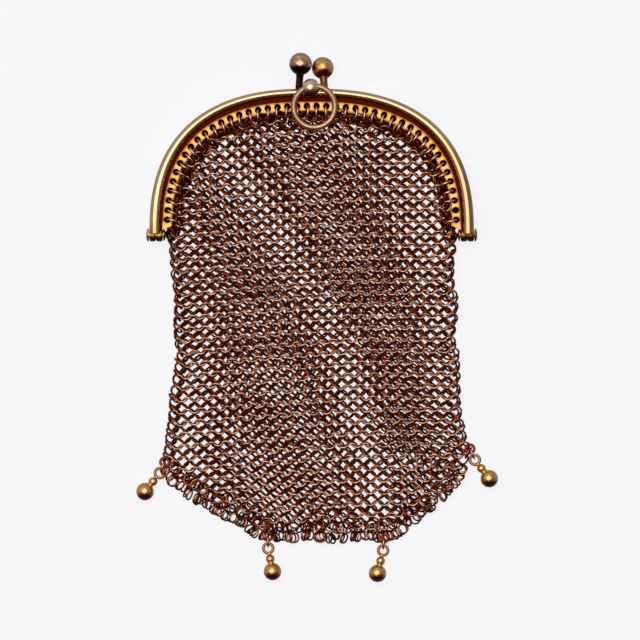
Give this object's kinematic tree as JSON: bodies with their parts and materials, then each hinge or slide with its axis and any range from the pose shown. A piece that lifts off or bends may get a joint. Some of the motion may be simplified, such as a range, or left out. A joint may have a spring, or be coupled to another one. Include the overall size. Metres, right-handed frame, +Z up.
{
  "type": "metal ring-mesh purse",
  "caption": "Small flat ring-mesh purse on a bowed, hinged metal frame with a ball clasp, a carry ring and ball drops at its corners.",
  "frame": {"origin": "on the flat underside of the bag, on the frame's centre line, 17 mm below the hinge line", "axes": "+X across the purse to the right seen from the front, +Y towards the clasp, +Z up off the surface it lies on"},
  "size_m": [0.0724, 0.1058, 0.0076],
  "materials": {
    "frame_metal": "polished, worn",
    "ring_metal": "polished, rosy",
    "mesh_metal": "worn wire, rosy brown",
    "drop_metal": "polished, worn"
  },
  "bodies": {
    "purse": {"front_bow": "frame_metal", "back_bow": "frame_metal", "hinge_pin_left": "frame_metal", "hinge_pin_right": "frame_metal", "mesh_bag": "mesh_metal", "drop_link_left": "mesh_metal", "drop_left": "drop_metal", "drop_link_foot_left": "mesh_metal", "drop_foot_left": "drop_metal", "drop_link_foot_right": "mesh_metal", "drop_foot_right": "drop_metal", "drop_link_right": "mesh_metal", "drop_right": "drop_metal"},
    "carry_ring": {"carry_ring": "ring_metal"}
  },
  "joints": [
    {"name": "ring_swing", "type": "hinge", "parent": "purse", "child": "carry_ring", "pos_m": [-0.0002, 0.04632, 0.006], "axis": [-0.9816, -0.1908, 0], "range_deg": [0, 180]}
  ]
}
